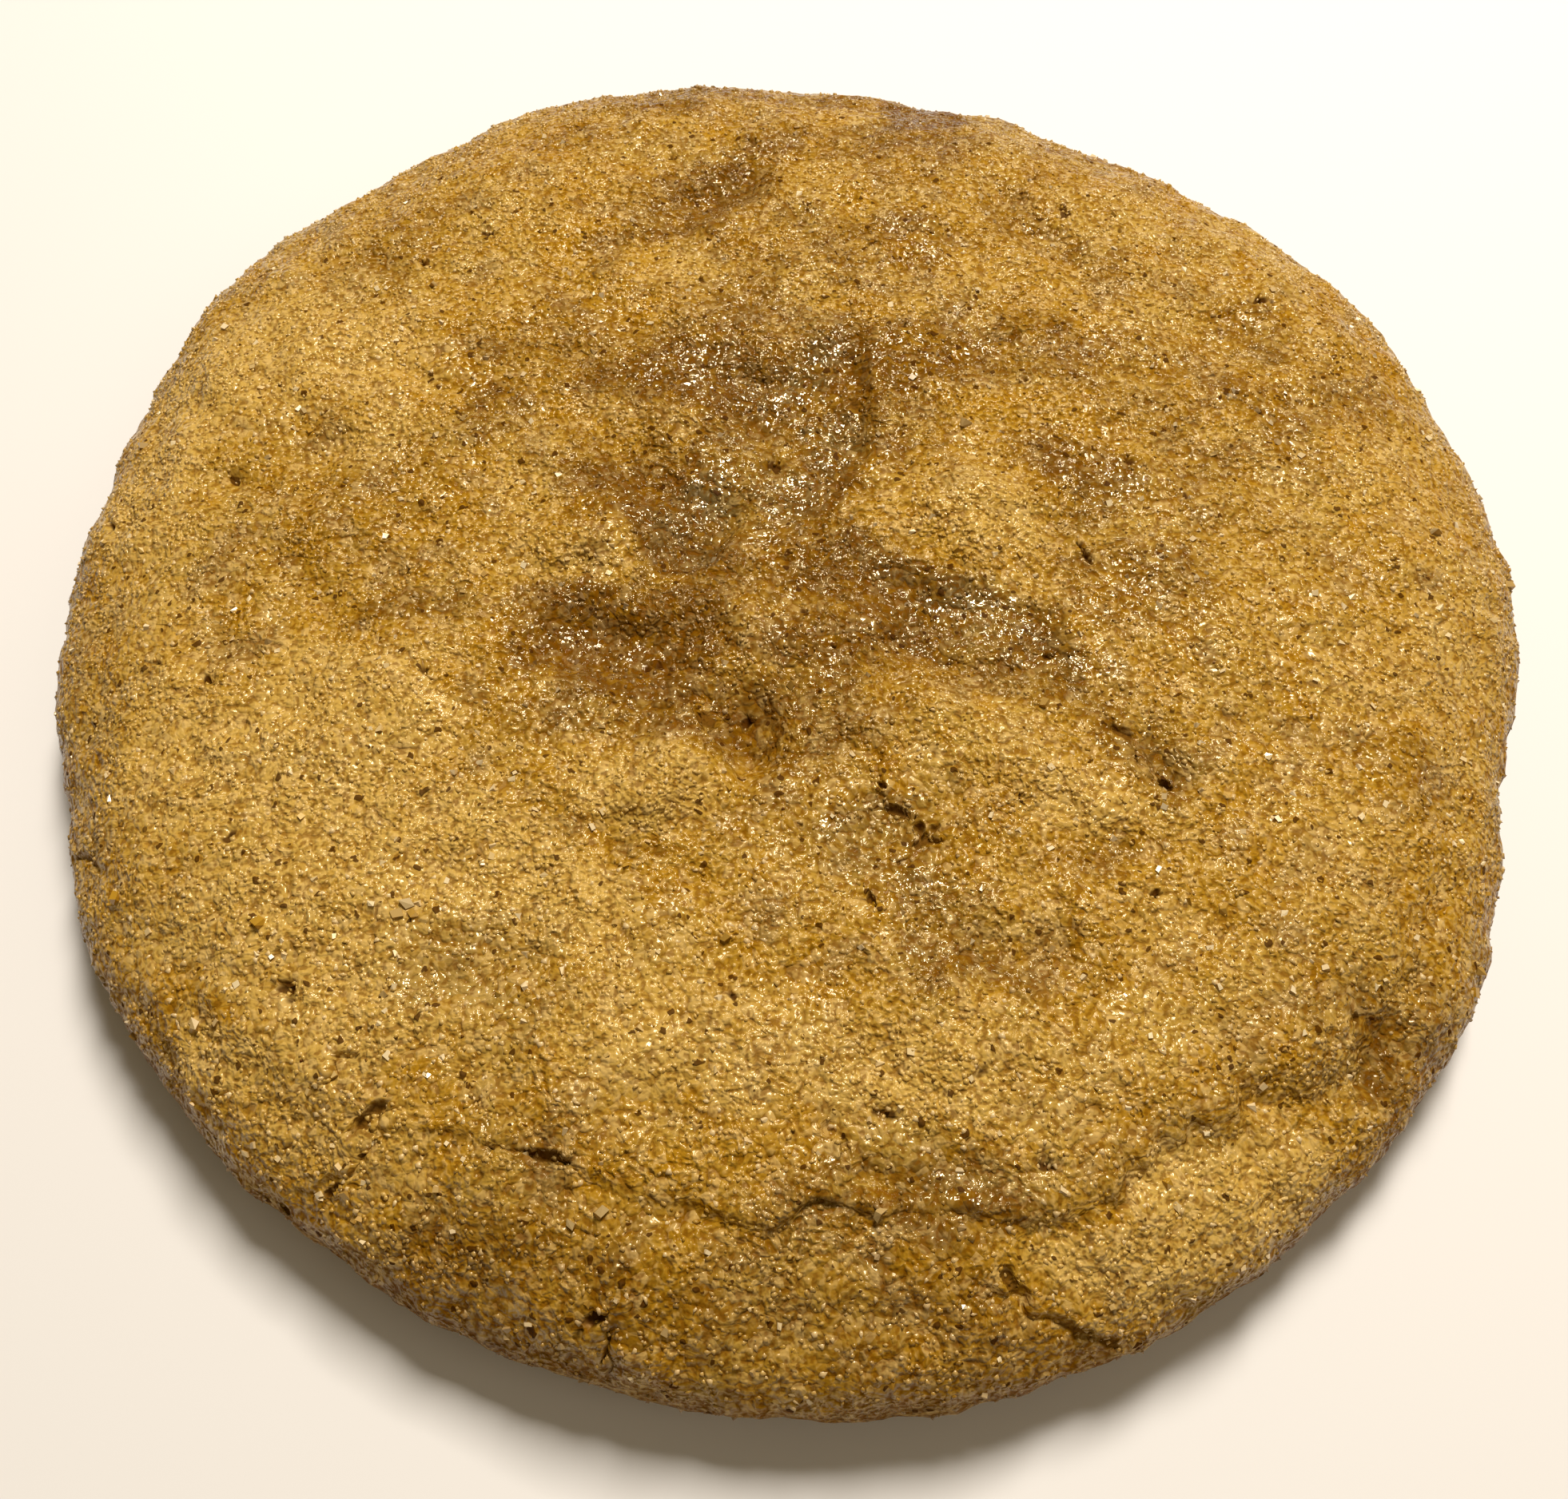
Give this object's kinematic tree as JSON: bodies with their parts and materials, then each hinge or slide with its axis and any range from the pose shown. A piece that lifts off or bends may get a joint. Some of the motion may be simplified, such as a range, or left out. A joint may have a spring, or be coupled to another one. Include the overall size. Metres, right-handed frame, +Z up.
{
  "type": "snickerdoodle cookie",
  "caption": "Round soft cookie with a puffed rim, a sunken middle, a crease along the front and a crust of sugar and cinnamon, on a flat underside.",
  "frame": {"origin": "middle of the flat underside, on the surface that the cookie lies on", "axes": "+Z up through the crown, +Y away from the crease along the front, +X to the right of it"},
  "size_m": [0.0996, 0.103, 0.0134],
  "materials": {
    "crust": "golden tan baked dough under a grainy sugar and cinnamon crust, glossier in the sunken middle"
  },
  "bodies": {
    "root": {"cookie": "crust"}
  },
  "joints": []
}
